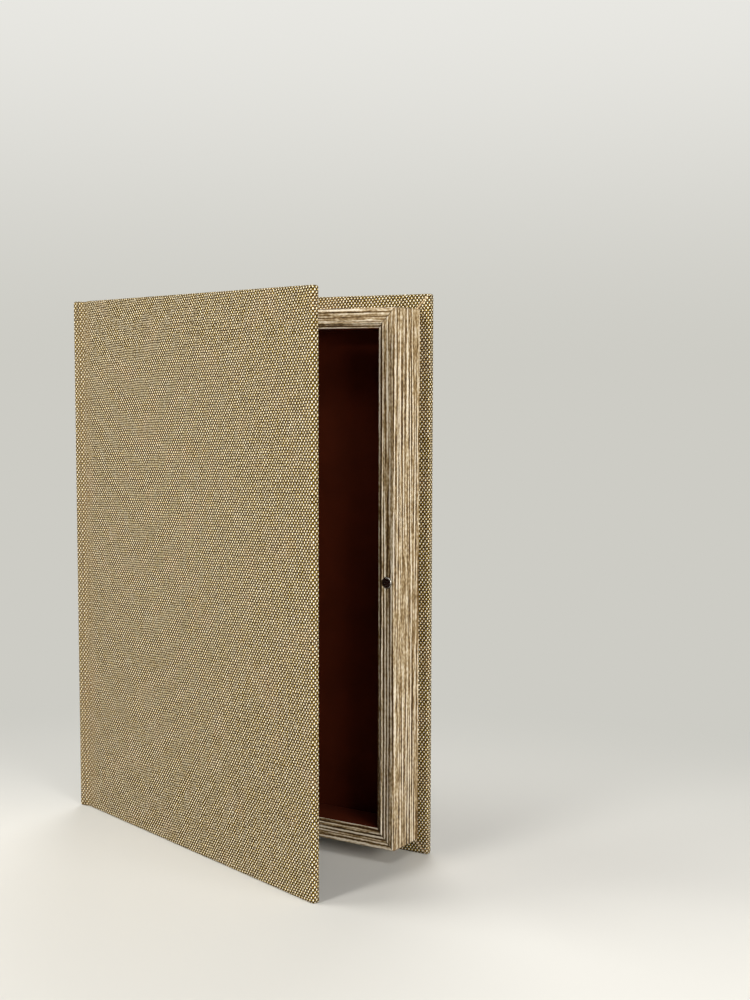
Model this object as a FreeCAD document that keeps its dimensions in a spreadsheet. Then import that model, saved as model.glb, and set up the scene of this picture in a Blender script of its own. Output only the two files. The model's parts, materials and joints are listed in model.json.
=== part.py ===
import FreeCAD, Part
import math
import os
import Sketcher

# Book-shaped keepsake box, standing on its foot with the front cover ajar.
# X runs from the spine to the fore-edge, Y from the front cover to the back
# cover, Z upwards. The origin is the middle of the back cover's foot.

doc = FreeCAD.newDocument("book_box")

# Driving sizes in millimetres and degrees
SIZES = {
    # Case: three boards in one sheet of cloth
    "case_height": 290.0,
    "case_width": 215.6,
    "board_thick": 3.0,
    "cloth_thick": 0.7,
    "wrap_round": 1.3,
    "turn_in": 15.0,
    # Cloth joints between the spine board and the two cover boards
    "joint_width": 6.6,
    "joint_dip": 0.5,
    "joint_slope": 1.3,
    "joint_head_gap": 0.4,
    "glue_line": 0.05,
    "flange_width": 15.0,
    "open_angle": 17.45,
    # Front cover
    "fore_edge_lead": 0.8,
    "cover_gap": 0.3,
    "cover_lining_thick": 0.3,
    "cover_lining_margin": 4.0,
    "infill_clear": 0.2,
    # Tray: a mitred frame of moulding round a lined floor
    "head_margin": 7.6,
    "fore_margin": 5.8,
    "rail_depth": 24.5,
    "rail_width": 10.0,
    "rebate_width": 3.0,
    "floor_thick": 2.0,
    "floor_clear": 0.25,
    "lining_thick": 0.4,
    "lining_setback": 0.6,
    # Moulding section, widths from its outer edge inwards and depths from its front
    "arris_round": 0.6,
    "land_width": 1.9,
    "land_groove_width": 0.5,
    "land_groove_depth": 0.4,
    "band_width": 4.0,
    "band_level": 0.1,
    "band_curve": 11.0,
    "bead_groove_width": 0.5,
    "bead_groove_depth": 0.5,
    "bead_width": 1.0,
    "bead_drop": 0.27,
    "bead_radius": 0.6,
    "ledge_level": 1.1,
    "ledge_round": 0.35,
    # Wedge nails that close the four mitres
    "wedge_inset": 3.0,
    "wedge_thick": 0.4,
    "wedge_leg": 4.2,
    "wedge_height": 12.0,
    # Magnetic catch
    "magnet_diameter": 6.0,
    "magnet_thick": 2.0,
    "magnet_round": 0.4,
    "magnet_inset": 4.4,
    "magnet_clear": 0.1,
    "strike_diameter": 10.0,
    "strike_thick": 0.8,
    "strike_clear": 0.1,
    # How far a cut runs past the solid
    "overrun": 1.0,
}

sheet = doc.addObject("Spreadsheet::Sheet", "Sizes")
for row, (alias, number) in enumerate(SIZES.items(), start=1):
    sheet.set(f"A{row}", alias)
    sheet.set(f"B{row}", str(number))
    sheet.setAlias(f"B{row}", alias)
doc.recompute()

# Sizes that follow from the driving ones, as expressions
COVER = "(Sizes.board_thick + 2 * Sizes.cloth_thick)"
CLOSED_DEPTH = (
    f"(2 * {COVER} + Sizes.rail_depth + Sizes.cover_gap + Sizes.cover_lining_thick)"
)
PANEL_START = "Sizes.joint_width"
BACK_WIDTH = f"(Sizes.case_width - {COVER} - Sizes.joint_width)"
FRONT_WIDTH = f"({BACK_WIDTH} + Sizes.fore_edge_lead)"
FRAME_WIDTH = f"(Sizes.case_width - {COVER} - Sizes.fore_margin)"
FRAME_HEIGHT = "(Sizes.case_height - 2 * Sizes.head_margin)"
WELL_WIDTH = f"({FRAME_WIDTH} - 2 * Sizes.rail_width)"
WELL_HEIGHT = f"({FRAME_HEIGHT} - 2 * Sizes.rail_width)"
BAND_START = "(Sizes.land_width + Sizes.land_groove_width)"
BEAD_START = f"({BAND_START} + Sizes.band_width + Sizes.bead_groove_width)"
LEDGE_START = f"({BEAD_START} + Sizes.bead_width)"
STRIP_HEIGHT = "(Sizes.case_height - 2 * Sizes.joint_head_gap)"
BOARD_HEIGHT = "(Sizes.case_height - 2 * Sizes.cloth_thick)"
WINDOW_HEIGHT = "(Sizes.case_height - 2 * Sizes.turn_in)"
INNER_LEVEL = "(Sizes.cloth_thick + Sizes.board_thick)"


def size(expression):
    """The number that an expression on the sheet gives."""
    return float(sheet.evalExpression(expression))


# Planes and corners of the closed box
HEIGHT = size("Sizes.case_height")
SPINE_X = -size("Sizes.case_width") / 2
JOINT_X = SPINE_X + size(COVER)
FORE_X = size("Sizes.case_width") / 2
REAR_Y = size(COVER) / 2
TRAY_REAR_Y = REAR_Y - size(COVER)
TRAY_FRONT_Y = TRAY_REAR_Y - size("Sizes.rail_depth")
FRONT_Y = REAR_Y - size(CLOSED_DEPTH)
FRAME_FOOT_Z = size("Sizes.head_margin")
FRAME_FORE_X = FORE_X - size("Sizes.fore_margin")
WELL_X = JOINT_X + size("Sizes.rail_width")
WELL_Z = FRAME_FOOT_Z + size("Sizes.rail_width")
FLOOR_FACE_Y = TRAY_REAR_Y - size("Sizes.floor_thick")
HINGE = FreeCAD.Vector(JOINT_X + size("Sizes.joint_width") / 2, FRONT_Y, 0)

X_AXIS = FreeCAD.Vector(1, 0, 0)
Y_AXIS = FreeCAD.Vector(0, 1, 0)
Z_AXIS = FreeCAD.Vector(0, 0, 1)
SWING = FreeCAD.Placement(
    FreeCAD.Vector(), FreeCAD.Rotation(Z_AXIS, -size("Sizes.open_angle")), HINGE
)

sub_parts = []


def seat(sub_part, corner, along_x, along_y, cover=False):
    """Puts a sub-part's local X and Y along two directions, on a corner."""
    turn = FreeCAD.Rotation(along_x, along_y, along_x.cross(along_y), "XYZ")
    place = FreeCAD.Placement(corner, turn)
    sub_part.Placement = SWING * place if cover else place
    sub_parts.append(sub_part)


def new_body(label):
    """An empty body with its own label."""
    body = doc.addObject("PartDesign::Body", label)
    body.Label = label
    return body


def new_sketch(body, name, plane="XY_Plane", level=None):
    """A sketch on one of the body's own planes, at a level along its normal."""
    sketch = body.newObject("Sketcher::SketchObject", name)
    support = next(f for f in body.Origin.OriginFeatures if f.Role == plane)
    sketch.AttachmentSupport = [(support, "")]
    sketch.MapMode = "FlatFace"
    if level:
        sketch.setExpression("AttachmentOffset.Base.z", level)
    return sketch


def arc_between(start, end, radius, left):
    """The short arc of a radius between two points, its centre on one side."""
    chord = end - start
    across = FreeCAD.Vector(-chord.y, chord.x, 0).normalize()
    reach = math.sqrt(radius**2 - (chord.Length / 2) ** 2)
    centre = (start + end) / 2 + across * (reach if left else -reach)
    first, last = (start, end) if left else (end, start)
    circle = Part.Circle(centre, Z_AXIS, radius)
    from_angle = math.atan2(first.y - centre.y, first.x - centre.x)
    to_angle = math.atan2(last.y - centre.y, last.x - centre.x)
    if to_angle < from_angle:
        to_angle += 2 * math.pi
    return Part.ArcOfCircle(circle, from_angle, to_angle)


def bind(sketch, kind, element, expression):
    """A dimension of a sketch, bound to an expression."""
    number = sketch.addConstraint(
        Sketcher.Constraint(kind, *element, size(expression))
    )
    sketch.setExpression(f"Constraints[{number}]", expression)


def draw_outline(sketch, corners, arcs=None):
    """A closed outline through bound corners; arcs maps a side to a radius."""
    arcs = arcs or {}
    points = [FreeCAD.Vector(size(across), size(along), 0) for across, along in corners]
    sides = []
    for number, start in enumerate(points):
        end = points[(number + 1) % len(points)]
        if number in arcs:
            radius, left = arcs[number]
            curve = arc_between(start, end, size(radius), left)
            side = sketch.addGeometry(curve, False)
            bind(sketch, "Radius", (side,), radius)
            sides.append((side, 1, 2) if left else (side, 2, 1))
        else:
            side = sketch.addGeometry(Part.LineSegment(start, end), False)
            sides.append((side, 1, 2))
    for number, (side, first, _) in enumerate(sides):
        before, _, last = sides[number - 1]
        sketch.addConstraint(
            Sketcher.Constraint("Coincident", before, last, side, first)
        )
        across, along = corners[number]
        bind(sketch, "DistanceX", (-1, 1, side, first), across)
        bind(sketch, "DistanceY", (-1, 1, side, first), along)


def draw_rectangle(sketch, low_x, low_y, high_x, high_y):
    """A bound rectangle."""
    draw_outline(
        sketch,
        [(low_x, low_y), (high_x, low_y), (high_x, high_y), (low_x, high_y)],
    )


def draw_circle(sketch, across, along, diameter):
    """A bound circle."""
    centre = FreeCAD.Vector(size(across), size(along), 0)
    circle = sketch.addGeometry(Part.Circle(centre, Z_AXIS, size(diameter) / 2), False)
    bind(sketch, "DistanceX", (-1, 1, circle, 3), across)
    bind(sketch, "DistanceY", (-1, 1, circle, 3), along)
    bind(sketch, "Diameter", (circle,), diameter)


def pad(body, sketch, length, reverse=False):
    """Adds a sketch's outline to the body, by a bound length."""
    feature = body.newObject("PartDesign::Pad", "pad")
    feature.Profile = sketch
    feature.setExpression("Length", length)
    feature.Reversed = reverse
    return feature


def pocket(body, sketch, length, reverse=False):
    """Cuts a sketch's outline from the body, and makes sure that it cuts."""
    doc.recompute()
    before = body.Tip.Shape.Volume
    feature = body.newObject("PartDesign::Pocket", "pocket")
    feature.Profile = sketch
    feature.setExpression("Length", length)
    feature.Reversed = reverse
    doc.recompute()
    if feature.Shape.Volume >= before:
        raise RuntimeError(f"a pocket of {body.Label} cuts nothing")
    return feature


def cut_through(body, sketch):
    """Cuts a sketch's outline right through the body, both ways."""
    doc.recompute()
    before = body.Tip.Shape.Volume
    feature = body.newObject("PartDesign::Pocket", "cut")
    feature.Profile = sketch
    feature.Type = "ThroughAll"
    feature.Midplane = True
    doc.recompute()
    if feature.Shape.Volume >= before:
        raise RuntimeError(f"a cut of {body.Label} cuts nothing")
    return feature


def round_edges(body, radius, chosen):
    """Rounds those edges of the body that a test on the edge chooses."""
    doc.recompute()
    base = body.Tip
    names = [
        f"Edge{number}"
        for number, edge in enumerate(base.Shape.Edges, start=1)
        if chosen(edge)
    ]
    feature = body.newObject("PartDesign::Fillet", "rounding")
    feature.Base = (base, names)
    feature.setExpression("Radius", radius)
    doc.recompute()
    return feature


def lies_on(edge, axis, level):
    """Whether a whole edge lies at one level along an axis."""
    reach = edge.BoundBox
    low, high = {
        "x": (reach.XMin, reach.XMax),
        "y": (reach.YMin, reach.YMax),
        "z": (reach.ZMin, reach.ZMax),
    }[axis]
    return abs(low - level) < Part.Precision.confusion() * 10 and (
        abs(high - level) < Part.Precision.confusion() * 10
    )


def slab(label, width, height, thick):
    """A flat rectangular piece, cut from sheet."""
    body = new_body(label)
    outline = new_sketch(body, "outline")
    draw_rectangle(outline, "0", "0", width, height)
    pad(body, outline, thick)
    return body


# Boards of the case: the cloth turns round each of them


def make_board(label, width):
    """A cover board, cut square from greyboard."""
    return slab(label, width, BOARD_HEIGHT, "Sizes.board_thick")


back_board = make_board("back_board", f"{BACK_WIDTH} - Sizes.cloth_thick")
seat(
    back_board,
    FreeCAD.Vector(
        JOINT_X + size("Sizes.joint_width"),
        REAR_Y - size("Sizes.cloth_thick"),
        size("Sizes.cloth_thick"),
    ),
    X_AXIS,
    Z_AXIS,
)

spine_board = make_board("spine_board", f"{CLOSED_DEPTH} - 2 * Sizes.cloth_thick")
seat(
    spine_board,
    FreeCAD.Vector(
        SPINE_X + size("Sizes.cloth_thick"),
        FRONT_Y + size("Sizes.cloth_thick"),
        size("Sizes.cloth_thick"),
    ),
    Y_AXIS,
    Z_AXIS,
)

# The front board is let into its hinge lining on the joint side, and holds the
# steel disc that the magnet pulls, level with its inner face.
front_board = make_board("front_board", f"{FRONT_WIDTH} - 2 * Sizes.cloth_thick")
STRIKE_X = (
    f"({FRONT_WIDTH} - Sizes.cloth_thick - Sizes.fore_edge_lead"
    " - Sizes.fore_margin - Sizes.magnet_inset)"
)
strike_seat = new_sketch(front_board, "strike_seat", level="Sizes.board_thick")
draw_circle(
    strike_seat,
    STRIKE_X,
    f"{BOARD_HEIGHT} / 2",
    "Sizes.strike_diameter + 2 * Sizes.strike_clear",
)
pocket(front_board, strike_seat, "Sizes.strike_thick")
seat(
    front_board,
    FreeCAD.Vector(
        JOINT_X + size("Sizes.joint_width") + size("Sizes.cloth_thick"),
        FRONT_Y + size("Sizes.cloth_thick"),
        HEIGHT - size("Sizes.cloth_thick"),
    ),
    X_AXIS,
    -Z_AXIS,
    cover=True,
)

# Cloth of the case: one sheet on the real box, told apart here where it bends


def make_cover_cloth(label, width):
    """Cloth round three edges of a cover board, with turn-ins on its inner face."""
    body = new_body(label)
    outline = new_sketch(body, "outline")
    end = f"{PANEL_START} + {width}"
    draw_rectangle(outline, PANEL_START, "0", end, "Sizes.case_height")
    pad(body, outline, COVER)
    joint_side = size(PANEL_START)
    round_edges(
        body, "Sizes.wrap_round", lambda edge: not lies_on(edge, "x", joint_side)
    )
    open_side = f"{PANEL_START} - Sizes.overrun"
    window = new_sketch(body, "window", level=COVER)
    draw_rectangle(
        window,
        open_side,
        "Sizes.turn_in",
        f"{end} - Sizes.turn_in",
        "Sizes.case_height - Sizes.turn_in",
    )
    pocket(body, window, "Sizes.cloth_thick")
    board_room = new_sketch(body, "board_room", level=INNER_LEVEL)
    draw_rectangle(
        board_room,
        open_side,
        "Sizes.cloth_thick",
        f"{end} - Sizes.cloth_thick",
        "Sizes.case_height - Sizes.cloth_thick",
    )
    pocket(body, board_room, "Sizes.board_thick")
    return body


# The back cover's cloth carries on over the rear joint, which stays still.
back_cloth = make_cover_cloth("back_cloth", BACK_WIDTH)
rear_joint = new_sketch(
    back_cloth, "rear_joint", plane="XZ_Plane", level="-Sizes.joint_head_gap"
)
SLOPE_END = f"{PANEL_START} - Sizes.joint_slope"
DIP_INSIDE = "Sizes.joint_dip + Sizes.cloth_thick"
draw_outline(
    rear_joint,
    [
        ("0", "0"),
        ("Sizes.joint_slope", "Sizes.joint_dip"),
        (SLOPE_END, "Sizes.joint_dip"),
        (PANEL_START, "0"),
        (PANEL_START, "Sizes.cloth_thick"),
        (SLOPE_END, DIP_INSIDE),
        ("Sizes.joint_slope", DIP_INSIDE),
        ("0", "Sizes.cloth_thick"),
    ],
)
pad(back_cloth, rear_joint, STRIP_HEIGHT, reverse=True)
seat(back_cloth, FreeCAD.Vector(JOINT_X, REAR_Y, 0), X_AXIS, Z_AXIS)

front_cloth = make_cover_cloth("front_cloth", FRONT_WIDTH)
seat(
    front_cloth,
    FreeCAD.Vector(JOINT_X, FRONT_Y, HEIGHT),
    X_AXIS,
    -Z_AXIS,
    cover=True,
)

# The spine's cloth goes round both long edges of its board, and turns in at
# the head and the foot.
spine_cloth = new_body("spine_cloth")
spine_outline = new_sketch(spine_cloth, "outline")
draw_rectangle(spine_outline, "0", "0", CLOSED_DEPTH, "Sizes.case_height")
pad(spine_cloth, spine_outline, COVER)
round_edges(spine_cloth, "Sizes.wrap_round", lambda edge: lies_on(edge, "z", 0))
SPINE_INSIDE_END = f"{CLOSED_DEPTH} - Sizes.cloth_thick"
spine_window = new_sketch(spine_cloth, "window", level=COVER)
draw_rectangle(
    spine_window,
    "Sizes.cloth_thick",
    "Sizes.turn_in",
    SPINE_INSIDE_END,
    "Sizes.case_height - Sizes.turn_in",
)
pocket(spine_cloth, spine_window, "Sizes.cloth_thick")
spine_room = new_sketch(spine_cloth, "board_room", level=INNER_LEVEL)
draw_rectangle(
    spine_room,
    "Sizes.cloth_thick",
    "Sizes.cloth_thick",
    SPINE_INSIDE_END,
    "Sizes.case_height - Sizes.cloth_thick",
)
pocket(spine_cloth, spine_room, "Sizes.board_thick")
seat(spine_cloth, FreeCAD.Vector(SPINE_X, FRONT_Y, 0), Y_AXIS, Z_AXIS)

# Hinge: two strips of cloth back to back in the front joint. Both bend about the
# hinge line, which lies in the outer face of the cloth.
HALF_JOINT = "(Sizes.joint_width / 2)"


def swung(across, depth):
    """A point of the cover's half of the joint, at the angle it stands open."""
    return (
        f"{HALF_JOINT} + ({across}) * cos(Sizes.open_angle)"
        f" + ({depth}) * sin(Sizes.open_angle)",
        f"({depth}) * cos(Sizes.open_angle) - ({across}) * sin(Sizes.open_angle)",
    )


def make_hinge_strip(label, depth):
    """A strip of cloth that bends in the joint, at a depth under its outer face."""
    body = new_body(label)
    section = new_sketch(body, "section", level="Sizes.joint_head_gap")
    flat = f"{HALF_JOINT} - Sizes.joint_slope"
    near = f"Sizes.joint_dip + {depth}"
    far = f"{near} + Sizes.cloth_thick"
    edge_far = f"{depth} + Sizes.cloth_thick"
    corners = [
        ("0", depth),
        ("Sizes.joint_slope", near),
        (HALF_JOINT, near),
        swung("0", near),
        swung(flat, near),
        swung(HALF_JOINT, depth),
        swung(HALF_JOINT, edge_far),
        swung(flat, far),
        swung("0", far),
        (HALF_JOINT, far),
        ("Sizes.joint_slope", far),
        ("0", edge_far),
    ]
    draw_outline(section, corners, arcs={2: (near, False), 8: (far, True)})
    pad(body, section, STRIP_HEIGHT)
    seat(body, FreeCAD.Vector(JOINT_X, FRONT_Y, 0), X_AXIS, Y_AXIS)
    return body


make_hinge_strip("hinge_cloth", "0")
LINING_DEPTH = "(Sizes.cloth_thick + Sizes.glue_line)"
make_hinge_strip("hinge_lining", LINING_DEPTH)

# The hinge lining is glued down on both sides of the joint: on the spine board,
# behind the tray, and round the edge of the front board.
spine_flange = slab(
    "hinge_lining_spine_flange",
    f"{CLOSED_DEPTH} - Sizes.cloth_thick - {LINING_DEPTH}",
    WINDOW_HEIGHT,
    "Sizes.cloth_thick",
)
seat(
    spine_flange,
    FreeCAD.Vector(
        SPINE_X + size(INNER_LEVEL),
        FRONT_Y + size(LINING_DEPTH),
        size("Sizes.turn_in"),
    ),
    Y_AXIS,
    Z_AXIS,
)

cover_flange = new_body("hinge_lining_cover_flange")
edge_leg = new_sketch(cover_flange, "edge_leg", level=LINING_DEPTH)
draw_rectangle(
    edge_leg,
    "0",
    "Sizes.cloth_thick",
    "Sizes.cloth_thick",
    "Sizes.case_height - Sizes.cloth_thick",
)
pad(cover_flange, edge_leg, f"{INNER_LEVEL} - {LINING_DEPTH}")
face_leg = new_sketch(cover_flange, "face_leg", level=INNER_LEVEL)
draw_rectangle(
    face_leg,
    "0",
    "Sizes.turn_in",
    "Sizes.cloth_thick + Sizes.flange_width",
    "Sizes.case_height - Sizes.turn_in",
)
pad(cover_flange, face_leg, "Sizes.cloth_thick")
PANEL_X = JOINT_X + size(PANEL_START)
seat(
    cover_flange,
    FreeCAD.Vector(PANEL_X, FRONT_Y, HEIGHT),
    X_AXIS,
    -Z_AXIS,
    cover=True,
)

# Infill cards bring the inner face of each cover up to its turn-ins.
INFILL_HEIGHT = f"({WINDOW_HEIGHT} - 2 * Sizes.infill_clear)"
INFILL_Z = size("Sizes.turn_in") + size("Sizes.infill_clear")
back_infill = slab(
    "back_infill",
    f"{BACK_WIDTH} - Sizes.turn_in - 2 * Sizes.infill_clear",
    INFILL_HEIGHT,
    "Sizes.cloth_thick",
)
seat(
    back_infill,
    FreeCAD.Vector(
        PANEL_X + size("Sizes.infill_clear"),
        TRAY_REAR_Y + size("Sizes.cloth_thick"),
        INFILL_Z,
    ),
    X_AXIS,
    Z_AXIS,
)

FLANGE_END = "(Sizes.cloth_thick + Sizes.flange_width)"
front_infill = slab(
    "front_infill",
    f"{FRONT_WIDTH} - Sizes.turn_in - {FLANGE_END} - 2 * Sizes.infill_clear",
    INFILL_HEIGHT,
    "Sizes.cloth_thick",
)
seat(
    front_infill,
    FreeCAD.Vector(
        PANEL_X + size(FLANGE_END) + size("Sizes.infill_clear"),
        FRONT_Y + size(INNER_LEVEL),
        HEIGHT - INFILL_Z,
    ),
    X_AXIS,
    -Z_AXIS,
    cover=True,
)

# Lining sheet on the inner face of the front cover
cover_lining = slab(
    "cover_lining",
    f"{FRONT_WIDTH} - 2 * Sizes.cover_lining_margin",
    "Sizes.case_height - 2 * Sizes.cover_lining_margin",
    "Sizes.cover_lining_thick",
)
seat(
    cover_lining,
    FreeCAD.Vector(
        PANEL_X + size("Sizes.cover_lining_margin"),
        FRONT_Y + size(COVER),
        HEIGHT - size("Sizes.cover_lining_margin"),
    ),
    X_AXIS,
    -Z_AXIS,
    cover=True,
)

# Steel disc in the front board, opposite the magnet when the box is closed
strike_disc = new_body("strike_disc")
strike_outline = new_sketch(strike_disc, "outline")
draw_circle(strike_outline, "0", "0", "Sizes.strike_diameter")
pad(strike_disc, strike_outline, "Sizes.strike_thick")
seat(
    strike_disc,
    FreeCAD.Vector(
        FRAME_FORE_X - size("Sizes.magnet_inset"),
        FRONT_Y + size(INNER_LEVEL) - size("Sizes.strike_thick"),
        HEIGHT / 2,
    ),
    X_AXIS,
    -Z_AXIS,
    cover=True,
)

# Moulding of the tray frame: a land, a shallow cove, a bead and a sunk ledge
# towards the well, and a rebate behind for the floor.
FLOOR_FACE = "(Sizes.rail_depth - Sizes.floor_thick)"
MOULDING = [
    ("0", "0"),
    ("Sizes.land_width", "0"),
    ("Sizes.land_width + Sizes.land_groove_width / 2", "Sizes.land_groove_depth"),
    (BAND_START, "Sizes.band_level"),
    (f"{BAND_START} + Sizes.band_width", "Sizes.band_level"),
    (
        f"{BAND_START} + Sizes.band_width + Sizes.bead_groove_width / 2",
        "Sizes.bead_groove_depth",
    ),
    (BEAD_START, "Sizes.bead_drop"),
    (LEDGE_START, "Sizes.bead_drop"),
    (LEDGE_START, "Sizes.ledge_level"),
    ("Sizes.rail_width", "Sizes.ledge_level"),
    ("Sizes.rail_width", FLOOR_FACE),
    ("Sizes.rail_width - Sizes.rebate_width", FLOOR_FACE),
    ("Sizes.rail_width - Sizes.rebate_width", "Sizes.rail_depth"),
    ("0", "Sizes.rail_depth"),
]
COVE_SIDE = 3
BEAD_SIDE = 6


def make_rail(label, length):
    """A length of moulding, mitred at both ends and slotted for its wedge nails."""
    body = new_body(label)
    section = new_sketch(body, "section")
    arcs = {
        COVE_SIDE: ("Sizes.band_curve", False),
        BEAD_SIDE: ("Sizes.bead_radius", True),
    }
    draw_outline(section, MOULDING, arcs)
    pad(body, section, length)
    width = size("Sizes.rail_width")
    ledge = size("Sizes.ledge_level")
    round_edges(
        body,
        "Sizes.arris_round",
        lambda edge: lies_on(edge, "x", 0) and lies_on(edge, "y", 0),
    )
    round_edges(
        body,
        "Sizes.ledge_round",
        lambda edge: lies_on(edge, "x", width) and lies_on(edge, "y", ledge),
    )
    reach = "Sizes.rail_width + Sizes.overrun"
    for first, last in (
        ("0", reach),
        (length, f"{length} - ({reach})"),
    ):
        mitre = new_sketch(body, "mitre", plane="XZ_Plane")
        draw_outline(mitre, [("0", first), (reach, first), (reach, last)])
        cut_through(body, mitre)
    leg_end = "Sizes.wedge_inset + Sizes.wedge_leg"
    for first, last in (
        ("Sizes.wedge_inset", leg_end),
        (f"{length} - ({leg_end})", f"{length} - Sizes.wedge_inset"),
    ):
        slot = new_sketch(body, "slot", plane="XZ_Plane", level="-Sizes.rail_depth")
        draw_rectangle(
            slot,
            "Sizes.wedge_inset",
            first,
            "Sizes.wedge_inset + Sizes.wedge_thick",
            last,
        )
        pocket(body, slot, "Sizes.wedge_height", reverse=True)
    return body


bottom_rail = make_rail("bottom_rail", FRAME_WIDTH)
seat(
    bottom_rail,
    FreeCAD.Vector(FRAME_FORE_X, TRAY_FRONT_Y, FRAME_FOOT_Z),
    Z_AXIS,
    Y_AXIS,
)
top_rail = make_rail("top_rail", FRAME_WIDTH)
seat(
    top_rail,
    FreeCAD.Vector(JOINT_X, TRAY_FRONT_Y, HEIGHT - FRAME_FOOT_Z),
    -Z_AXIS,
    Y_AXIS,
)
spine_stile = make_rail("spine_stile", FRAME_HEIGHT)
seat(spine_stile, FreeCAD.Vector(JOINT_X, TRAY_FRONT_Y, FRAME_FOOT_Z), X_AXIS, Y_AXIS)

# The fore-edge stile holds the magnet, half way up its face.
fore_stile = make_rail("fore_stile", FRAME_HEIGHT)
magnet_seat = new_sketch(fore_stile, "magnet_seat", plane="XZ_Plane")
draw_circle(
    magnet_seat,
    "Sizes.magnet_inset",
    f"{FRAME_HEIGHT} / 2",
    "Sizes.magnet_diameter + 2 * Sizes.magnet_clear",
)
pocket(fore_stile, magnet_seat, "Sizes.magnet_thick")
seat(
    fore_stile,
    FreeCAD.Vector(FRAME_FORE_X, TRAY_FRONT_Y, HEIGHT - FRAME_FOOT_Z),
    -X_AXIS,
    Y_AXIS,
)

magnet = new_body("magnet")
magnet_outline = new_sketch(magnet, "outline")
draw_circle(magnet_outline, "0", "0", "Sizes.magnet_diameter")
pad(magnet, magnet_outline, "Sizes.magnet_thick")
magnet_face = size("Sizes.magnet_thick")
round_edges(
    magnet, "Sizes.magnet_round", lambda edge: lies_on(edge, "z", magnet_face)
)
seat(
    magnet,
    FreeCAD.Vector(
        FRAME_FORE_X - size("Sizes.magnet_inset"),
        TRAY_FRONT_Y + size("Sizes.magnet_thick"),
        HEIGHT / 2,
    ),
    X_AXIS,
    Z_AXIS,
)

# Wedge nails: a steel angle in each mitre, driven in from behind
legs = []
for long_side, short_side in (("Length", "Width"), ("Width", "Length")):
    leg = doc.addObject("Part::Box", "wedge_leg")
    leg.setExpression(long_side, "Sizes.wedge_leg")
    leg.setExpression(short_side, "Sizes.wedge_thick")
    leg.setExpression("Height", "Sizes.wedge_height")
    leg.setExpression("Placement.Base.x", "Sizes.wedge_inset")
    leg.setExpression("Placement.Base.y", "Sizes.wedge_inset")
    legs.append(leg)
angle = doc.addObject("Part::Fuse", "wedge_angle")
angle.Base, angle.Tool = legs


def mirrored(source, normal, place):
    """A mirror image of a sub-part across the middle of the frame."""
    copy = doc.addObject("Part::Mirroring", "mirrored")
    copy.Source = source
    copy.Normal = normal
    copy.setExpression(f"Base.{place[0]}", place[1])
    return copy


def grouped(label, links):
    """Separate solids kept as one piece."""
    group = doc.addObject("Part::Compound", label)
    group.Links = links
    group.Label = label
    return group


right_angle = mirrored(angle, X_AXIS, ("x", f"{FRAME_WIDTH} / 2"))
foot_pair = grouped("foot_pair", [angle, right_angle])
head_pair = mirrored(foot_pair, Y_AXIS, ("y", f"{FRAME_HEIGHT} / 2"))
corner_wedges = grouped("corner_wedges", [foot_pair, head_pair])
seat(
    corner_wedges,
    FreeCAD.Vector(JOINT_X, TRAY_REAR_Y, FRAME_FOOT_Z),
    X_AXIS,
    Z_AXIS,
)

# Floor of the tray, let into the rebate behind the frame
FLOOR_EDGE = "(Sizes.rebate_width - Sizes.floor_clear)"
tray_floor = slab(
    "tray_floor",
    f"{WELL_WIDTH} + 2 * {FLOOR_EDGE}",
    f"{WELL_HEIGHT} + 2 * {FLOOR_EDGE}",
    "Sizes.floor_thick",
)
seat(
    tray_floor,
    FreeCAD.Vector(
        WELL_X - size(FLOOR_EDGE), TRAY_REAR_Y, WELL_Z - size(FLOOR_EDGE)
    ),
    X_AXIS,
    Z_AXIS,
)

# Lining of the well: a strip on each wall, and a sheet on the floor between them
STRIP_DEPTH = (
    "(Sizes.rail_depth - Sizes.floor_thick - Sizes.ledge_level"
    " - Sizes.lining_setback)"
)
LINED_WIDTH = f"({WELL_WIDTH} - 2 * Sizes.lining_thick)"
LINED_HEIGHT = f"({WELL_HEIGHT} - 2 * Sizes.lining_thick)"
LINING = size("Sizes.lining_thick")
WELL_FORE_X = FRAME_FORE_X - size("Sizes.rail_width")
WELL_HEAD_Z = HEIGHT - WELL_Z
for label, width, height, low_x, low_z in (
    ("lining_bottom", WELL_WIDTH, "Sizes.lining_thick", WELL_X, WELL_Z),
    ("lining_top", WELL_WIDTH, "Sizes.lining_thick", WELL_X, WELL_HEAD_Z - LINING),
    (
        "lining_spine_side",
        "Sizes.lining_thick",
        LINED_HEIGHT,
        WELL_X,
        WELL_Z + LINING,
    ),
    (
        "lining_fore_side",
        "Sizes.lining_thick",
        LINED_HEIGHT,
        WELL_FORE_X - LINING,
        WELL_Z + LINING,
    ),
):
    strip = slab(label, width, height, STRIP_DEPTH)
    seat(strip, FreeCAD.Vector(low_x, FLOOR_FACE_Y, low_z), X_AXIS, Z_AXIS)

lining_floor = slab("lining_floor", LINED_WIDTH, LINED_HEIGHT, "Sizes.lining_thick")
seat(
    lining_floor,
    FreeCAD.Vector(WELL_X + LINING, FLOOR_FACE_Y, WELL_Z + LINING),
    X_AXIS,
    Z_AXIS,
)

doc.recompute()

for item in doc.Objects:
    if "Invalid" in item.State or "Error" in item.State:
        raise RuntimeError(f"{item.Label} failed: {item.State}")
for sub_part in sub_parts:
    if sub_part.Shape.isNull() or not sub_part.Shape.isValid():
        raise RuntimeError(f"{sub_part.Label} has no valid shape")

os.makedirs("parts", exist_ok=True)
for sub_part in sub_parts:
    sub_part.Shape.exportStep(f"parts/{sub_part.Label}.step")
    print(sub_part.Label, len(sub_part.Shape.Solids), round(sub_part.Shape.Volume, 1))
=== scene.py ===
"""The looks of a book-shaped gift box: cloth case, mitred moulding tray and lining.

Everything is in metres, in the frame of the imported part: X from the spine to the
fore-edge, Y from the front cover to the back cover, Z upwards.
"""

import json
import logging
import math
from dataclasses import dataclass, field
from enum import Enum
from functools import partial
from typing import Callable, Iterable, Sequence

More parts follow.
